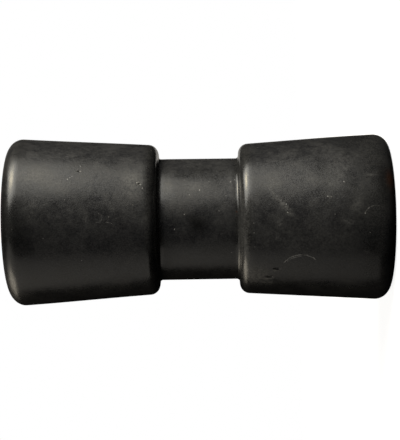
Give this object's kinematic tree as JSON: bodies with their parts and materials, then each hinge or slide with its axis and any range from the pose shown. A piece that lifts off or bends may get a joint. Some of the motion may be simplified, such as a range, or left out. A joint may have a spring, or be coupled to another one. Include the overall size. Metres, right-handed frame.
{
  "type": "boat trailer keel roller",
  "caption": "Solid rubber keel roller: flared end drums, rounded rims, a narrower waist that takes the keel, and an axle bore through its length.",
  "frame": {"origin": "middle of the axle bore, on its axis at half length", "axes": "+Z along the axle bore, which is the turning axis; the roller stands on its -Z end; X and Y are any two square directions across it, because it is round"},
  "size_m": [0.0874, 0.0874, 0.2],
  "materials": {
    "rubber": "matt black moulded rubber with a fine dusty grain, light scuffs and small nicks"
  },
  "bodies": {
    "root": {"keel_roller": "rubber"}
  },
  "joints": []
}
